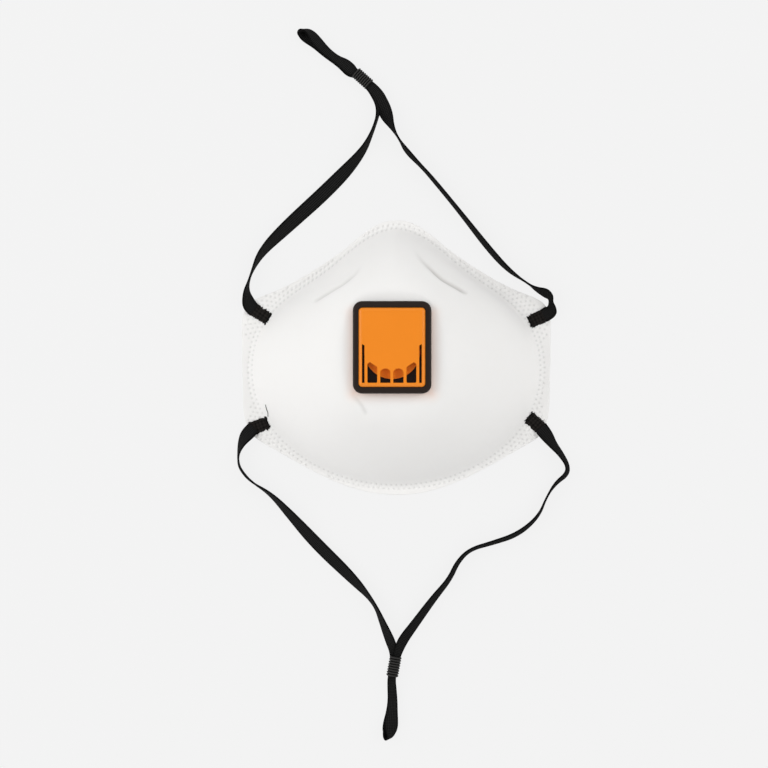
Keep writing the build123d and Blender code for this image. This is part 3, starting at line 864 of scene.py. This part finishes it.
def make_weld(node, seed, height_at):
    """Strap end pressed flat on the rim: a grid of crimp marks and ragged edges."""
    inner, outer = [np.array(end) for end in WELD_ENDS[node]]
    length = np.linalg.norm(outer - inner)
    way = (outer - inner) / length
    side = np.array([-way[1], way[0]])
    u, v = np.meshgrid(np.linspace(0, 1, 61), np.linspace(-1, 1, 49))
    x, y = ragged_plan(u, v, length, np.random.default_rng(seed))
    places = inner + x[:, :, None] * way + y[:, :, None] * side
    ground = np.array([[height_at(*place) for place in row] for row in places])
    marks = crimp_marks(u, v, seed)
    melted = pulse(u * length - 0.45, 0.4)
    border = (1 - np.abs(v) ** 10) * (1 - (1 - u) ** 24)
    thick = WELD_THICKNESS - CRIMP_DEPTH * np.clip(marks, 0, 1) + MELTED_BEAD * melted
    upper = np.dstack([places, ground + thick * (0.35 + 0.65 * border)])
    points, faces = closed_block(upper, np.dstack([places, ground - 0.25]))
    values = np.tile(np.clip(marks + melted, 0, 1).ravel(), 2)
    if node == "lower_left_strap_weld":
        thread = [(x, y, height_at(x, y) + 0.25) for x, y in LOOSE_THREAD]
        tube, tube_faces = tube_along(thread, THREAD_RADIUS)
        faces += [tuple(len(points) + corner for corner in face) for face in tube_faces]
        points = np.concatenate([points, tube])
        values = np.concatenate([values, np.zeros(len(tube))])
    piece = new_piece("crimped_" + node, points, faces, "mask", 55)
    point_attribute(piece, "melted", values)
    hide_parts(node)
    return piece


# ---------------- materials
class Nodes:
    """Short way to build the node tree of a new material, or of a new world."""

    def __init__(self, name, owners=bpy.data.materials, shader="Principled BSDF"):
        self.owner = owners.new(name)
        self.owner.use_nodes = True
        self.tree = self.owner.node_tree
        self.shader = self.tree.nodes[shader]

    def feed(self, socket, value):
        if isinstance(value, bpy.types.NodeSocket):
            self.tree.links.new(value, socket)
        else:
            socket.default_value = value

    def add(self, kind, settings=None, **inputs):
        node = self.tree.nodes.new(kind)
        for key, value in (settings or {}).items():
            setattr(node, key, value)
        for key, value in inputs.items():
            self.feed(node.inputs[key], value)
        return node

    def set(self, **inputs):
        for key, value in inputs.items():
            self.feed(self.shader.inputs[key.replace("_", " ")], value)
        return self.owner

    def math(self, operation, a, b=0.0, clamp=False):
        node = self.add("ShaderNodeMath", {"operation": operation, "use_clamp": clamp})
        self.feed(node.inputs[0], a)
        self.feed(node.inputs[1], b)
        return node.outputs[0]

    def vector(self, operation, a, b=(0, 0, 0)):
        node = self.add("ShaderNodeVectorMath", {"operation": operation})
        self.feed(node.inputs[0], a)
        self.feed(node.inputs[1], b)
        return node.outputs["Value" if operation == "LENGTH" else "Vector"]

    def times(self, a, b, clamp=False):
        return self.math("MULTIPLY", a, b, clamp)

    def attribute(self, name):
        return self.add("ShaderNodeAttribute", {"attribute_name": name}).outputs["Fac"]

    def place(self):
        return self.add("ShaderNodeTexCoord").outputs["Object"]

    def noise(self, scale, detail=3.0, rough=0.5, vector=None):
        return self.add("ShaderNodeTexNoise", Scale=scale, Detail=detail, Roughness=rough,
                        Vector=vector or self.place()).outputs["Fac"]

    def stretched(self, x, y, z):
        return self.add("ShaderNodeMapping", Scale=(x, y, z), Vector=self.place()).outputs[0]

    def mix(self, share, first, second):
        node = self.add("ShaderNodeMix", {"data_type": "RGBA"})
        for number, value in zip((0, 6, 7), (share, first, second)):
            self.feed(node.inputs[number], value)
        return node.outputs[2]

    def bump(self, height, distance_mm, strength=1.0, under=None):
        node = self.add("ShaderNodeBump", Height=height, Strength=strength,
                        Distance=distance_mm * MM)
        if under is not None:
            self.feed(node.inputs["Normal"], under)
        return node.outputs[0]


def shade(value, warmth=0.0):
    """Grey of that linear value, a little warmer or cooler."""
    return (value * (1 + warmth), value, value * (1 - 1.6 * warmth), 1)


PAINTED_REFLECTION_REACH = 0.006
PAINTED_REFLECTION_SHIFT = 0.0025           # keeps the painted reflection and shade off the web at the nose end of the frame


def painted_valve_reflection(nodes):
    """Where the web gets a warm tint close to the valve's frame: a painted orange reflection of the cap,
    with painted shade.
    """
    low, high = [np.array(corner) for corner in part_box("valve_base")]
    centre, half = (low + high) / 2, (high - low) / 2
    away = nodes.vector("SUBTRACT", nodes.place(), (centre[0], centre[1] - PAINTED_REFLECTION_SHIFT, 0))
    frame_half = (half[0], half[1] - PAINTED_REFLECTION_SHIFT, 1)
    past = nodes.vector("SUBTRACT", nodes.vector("ABSOLUTE", away), frame_half)
    distance = nodes.vector("LENGTH", nodes.vector("MAXIMUM", past))
    near = nodes.math("DIVIDE", distance, PAINTED_REFLECTION_REACH)
    return nodes.math("POWER", nodes.math("SUBTRACT", 1.0, near, clamp=True), 2.0)


def web_material(name, tone, painted_reflection=False, pressed=True):
    """Non-woven fibre web: felted fibres, faint clouding, glassy weld points, painted shade in the
    creases and, if asked, a painted orange reflection with shade beside the valve.
    """
    nodes = Nodes(name)
    cloud = nodes.noise(160, 4, 0.6)
    fibres = nodes.noise(1, 6, 0.7, nodes.stretched(2600, 5200, 3600))
    strands = nodes.noise(1, 5, 0.75, nodes.stretched(4200, 1300, 2600))
    felt = nodes.math("ADD", fibres, strands)
    base = nodes.mix(cloud, shade(tone * 0.985, 0.012), shade(tone, 0.006))
    base = nodes.mix(nodes.times(felt, 0.12), base, shade(tone * 0.9, 0.02))
    if pressed:
        spots = nodes.times(nodes.attribute("pressed"), 0.6, clamp=True)
        base = nodes.mix(spots, base, shade(tone * 0.66, 0.01))
        # Painted shade darkens the web in its creases.
        painted_shading = nodes.times(nodes.attribute("crease_shade"), 0.7, clamp=True)
        base = nodes.mix(painted_shading, base, shade(tone * 0.5, 0.03))
        rough = nodes.math("SUBTRACT", 0.92, nodes.times(nodes.attribute("pressed"), 0.3))
        nodes.set(Roughness=rough)
    else:
        nodes.set(Roughness=0.93)
    if painted_reflection:
        # Painted orange reflection of the valve's cap and painted shade beside its frame.
        base = nodes.mix(nodes.times(painted_valve_reflection(nodes), 0.36), base,
                         (0.96, 0.52, 0.33, 1))
    grain = nodes.bump(felt, 0.05, 0.55)
    return nodes.set(Base_Color=base, Sheen_Weight=0.15, Sheen_Roughness=0.6,
                     Specular_IOR_Level=0.25, Normal=nodes.bump(cloud, 0.25, 0.3, grain))


def strap_material():
    """Black knitted elastic: lengthwise ribs, small knit loops and a dusty sheen."""
    nodes = Nodes("knitted_elastic")
    across, along = nodes.attribute("across"), nodes.attribute("along")
    rib = nodes.math("SINE", nodes.times(across, STRAP_RIBS * math.pi))
    lean = nodes.times(nodes.math("ABSOLUTE", rib), 1.6)
    loop = nodes.math("SINE", nodes.math("ADD", nodes.times(along, 9.0), lean))
    knit = nodes.math("ADD", nodes.times(rib, 0.5), nodes.times(loop, 0.5))
    fuzz = nodes.noise(3200, 3, 0.7)
    lint = nodes.noise(420, 5, 0.65)
    lifted = nodes.times(knit, 0.6)
    tint = nodes.mix(nodes.math("ADD", lifted, 0.4, clamp=True),
                     shade(0.001), shade(0.025))
    tint = nodes.mix(nodes.times(lint, 0.25), tint, (0.018, 0.017, 0.016, 1))
    # Painted shade along the strap's rounded edges.
    border = nodes.math("POWER", nodes.math("ABSOLUTE", across), 5.0)
    tint = nodes.mix(border, tint, shade(0.0015))
    fine = nodes.bump(fuzz, 0.04, 0.5)
    return nodes.set(Base_Color=tint, Roughness=0.85, Sheen_Weight=0.008, Sheen_Roughness=0.4,
                     Specular_IOR_Level=0.04, Normal=nodes.bump(knit, 0.09, 0.8, fine))


def weld_material():
    """The same elastic, half melted: darker and a little smoother in the crimp marks."""
    nodes = Nodes("melted_elastic")
    melted = nodes.attribute("melted")
    grime = nodes.noise(900, 4, 0.6)
    tint = nodes.mix(melted, (0.017, 0.0145, 0.013, 1), shade(0.001))
    tint = nodes.mix(nodes.times(grime, 0.08), tint, (0.05, 0.047, 0.044, 1))
    rough = nodes.math("SUBTRACT", 0.8, nodes.times(melted, 0.12))
    return nodes.set(Base_Color=tint, Roughness=rough, Specular_IOR_Level=0.05,
                     Normal=nodes.bump(grime, 0.12, 0.7))


def moulded_material(name, colour, roughness, grain=0.02, mottling=0.06, specular=0.5):
    """Injection-moulded plastic: fine spark-eroded grain, faint flow marks, eased gloss."""
    nodes = Nodes(name)
    flow = nodes.noise(70, 3, 0.55)
    speck = nodes.noise(2600, 2, 0.6)
    darker = tuple(channel * (1 - mottling) for channel in colour[:3]) + (1,)
    tint = nodes.mix(flow, darker, colour)
    spread = nodes.math("ADD", nodes.times(flow, 0.1), roughness - 0.05)
    return nodes.set(Base_Color=tint, Roughness=spread, Specular_IOR_Level=specular,
                     Normal=nodes.bump(speck, grain, 0.5))


def silicone_material():
    """Soft amber flap: slightly cloudy, waxy and a little translucent."""
    material = moulded_material(
        "flap_silicone_orange", (0.92, 0.24, 0.012, 1), 0.38, 0.01, 0.1, 0.15
    )
    shader = material.node_tree.nodes["Principled BSDF"]
    shader.inputs["Subsurface Weight"].default_value = 0.2
    shader.inputs["Subsurface Radius"].default_value = (1.0, 0.4, 0.2)
    shader.inputs["Subsurface Scale"].default_value = 0.001
    return material


def metal_material():
    """Soft aluminium strip with rolling marks along it."""
    nodes = Nodes("clip_aluminium")
    brushed = nodes.noise(1, 4, 0.6, nodes.stretched(120, 3000, 3000))
    tint = nodes.mix(brushed, (0.62, 0.63, 0.64, 1), (0.78, 0.78, 0.79, 1))
    return nodes.set(Base_Color=tint, Metallic=1.0, Roughness=0.34,
                     Normal=nodes.bump(brushed, 0.02, 0.5))


def foam_material():
    """Open-cell foam: small pores in a cool grey."""
    nodes = Nodes("foam_grey")
    voronoi = nodes.add("ShaderNodeTexVoronoi", {"feature": "F1"}, Scale=1500.0,
                        Vector=nodes.place())
    pores = voronoi.outputs["Distance"]
    tint = nodes.mix(pores, (0.16, 0.16, 0.17, 1), (0.36, 0.36, 0.37, 1))
    return nodes.set(Base_Color=tint, Roughness=0.95, Specular_IOR_Level=0.2,
                     Normal=nodes.bump(pores, 0.3, 0.9))


def rubber_material():
    """Black rubber of the toggles, with a dusty painted highlight on the crests of the rings."""
    nodes = Nodes("toggle_rubber")
    dust = nodes.noise(700, 4, 0.6)
    painted_shading = nodes.mix(dust, (0.022, 0.021, 0.020, 1), (0.044, 0.042, 0.040, 1))
    # Painted highlight: the crests of the rings are lighter than the black grooves.
    crest = nodes.math("POWER", nodes.attribute("crest"), 2.5)
    tint = nodes.mix(crest, shade(0.001), painted_shading)
    return nodes.set(Base_Color=tint, Roughness=0.6, Specular_IOR_Level=0.2,
                     Normal=nodes.bump(dust, 0.05, 0.5))


def dress(piece, material):
    """Gives a piece or a carried-over CAD node this one material."""
    if not piece.material_slots:
        piece.data.materials.append(material)
    for holder in piece.material_slots:
        holder.material = material
    return piece


# ---------------- the studio, in metres
CAMERA_HEIGHT = 0.9
VIEW_WIDTH = 0.3456           # width of floor in the picture
VIEW_CENTRE = (-0.0056, -0.0119)
CAMERA_X = 0.034
SENSOR = 36.0
FLOOR_DIFFUSE = 0.05
FLOOR_GLOW = 0.845


def make_camera():
    """Camera straight above, off to the right, with its picture shifted back onto the mask."""
    data = bpy.data.cameras.new("camera")
    data.sensor_width = SENSOR
    data.lens = SENSOR * CAMERA_HEIGHT / VIEW_WIDTH
    data.shift_x = (VIEW_CENTRE[0] - CAMERA_X) / VIEW_WIDTH
    data.clip_start = 0.01
    camera = bpy.data.objects.new("camera", data)
    camera.location = (CAMERA_X, VIEW_CENTRE[1], CAMERA_HEIGHT)
    bpy.context.scene.collection.objects.link(camera)
    bpy.context.scene.camera = camera


def make_softbox(name, place, target, size, power):
    """Round area light that faces its target."""
    data = bpy.data.lights.new(name, "AREA")
    data.shape = "DISK"
    data.size = size
    data.energy = power
    light = bpy.data.objects.new(name, data)
    light.location = place
    light.rotation_euler = (Vector(target) - Vector(place)).to_track_quat("-Z", "Y").to_euler()
    bpy.context.scene.collection.objects.link(light)


def make_floor():
    """Pale paper sweep, partly self-lit so that it stays as even as a light table."""
    corners = [(-3000, -3000, 0), (3000, -3000, 0), (3000, 3000, 0), (-3000, 3000, 0)]
    floor = new_piece("floor", corners, [(0, 1, 2, 3)], None)
    paper = Nodes("paper").set(
        Base_Color=shade(FLOOR_DIFFUSE), Roughness=0.9, Specular_IOR_Level=0.0,
        Emission_Color=shade(1), Emission_Strength=FLOOR_GLOW,
    )
    dress(floor, paper)


SKY_HORIZON = 0.524
SKY_ZENITH = 0.52
SOFTBOXES = {
    "key": ((-0.95, 0.15, 0.75), 0.9, 6.0),
    "fill": ((0.95, 0.25, 0.75), 0.9, 4.7),
    "back": ((0.0, 0.95, 0.75), 0.9, 1.3),
    "front": ((0.0, -1.0, 0.75), 0.9, 2.5),
}


def make_sky():
    """White surround, nearly even."""
    nodes = Nodes("studio", bpy.data.worlds, "Background")
    ray = nodes.add("ShaderNodeTexCoord").outputs["Generated"]
    up = nodes.add("ShaderNodeSeparateXYZ", Vector=ray).outputs["Z"]
    level = nodes.add("ShaderNodeMapRange", Value=up)
    nodes.feed(level.inputs["To Min"], SKY_HORIZON)
    nodes.feed(level.inputs["To Max"], SKY_ZENITH)
    bpy.context.scene.world = nodes.set(Strength=level.outputs[0], Color=(1, 1, 1, 1))


def make_studio():
    """Sky, softboxes and floor."""
    make_sky()
    bpy.context.scene.view_settings.view_transform = "Standard"
    for name, (place, size, power) in SOFTBOXES.items():
        make_softbox(name, place, (0, 0, 0.02), size, power)
    make_floor()


# ---------------- assembly
def main():
    """Builds and dresses every piece."""
    make_camera()
    make_studio()
    dots = weld_dots()
    cover = dress(make_outer_cover(dots), web_material("moulded_cover_web", 0.89, painted_reflection=True))
    dress(make_filter(), web_material("melt_blown_web", 0.9, pressed=False))
    dress(make_liner(dots), web_material("moulded_liner_web", 0.86))
    dress(make_nose_foam(), foam_material())

    elastic, melted, rubber = strap_material(), weld_material(), rubber_material()
    on_straps = {node: dress(make_toggle(node), rubber) for node in TOGGLE_TURNS}
    height_at = surface_below(cover)
    for i, node in enumerate(WELD_ENDS):
        on_straps[node] = dress(make_weld(node, 20 + i, height_at), melted)
    for place, (route, length) in STRAPS.items():
        strap = dress(make_strap(place + "_strap", route), elastic)
        stretch_to_toggle(strap)

    black = moulded_material("valve_black_plastic", (0.020, 0.012, 0.009, 1), 0.42, 0.03, 0.25, 0.2)
    orange = moulded_material("valve_orange_plastic", (0.88, 0.25, 0.010, 1), 0.34, 0.015,
                               specular=0.28)
    kept = {
        "valve_base": black, "valve_retainer": black, "valve_cover": orange,
        "valve_diaphragm": silicone_material(), "nose_clip": metal_material(),
    }
    for node, material in kept.items():
        dress(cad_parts[node], material)


main()
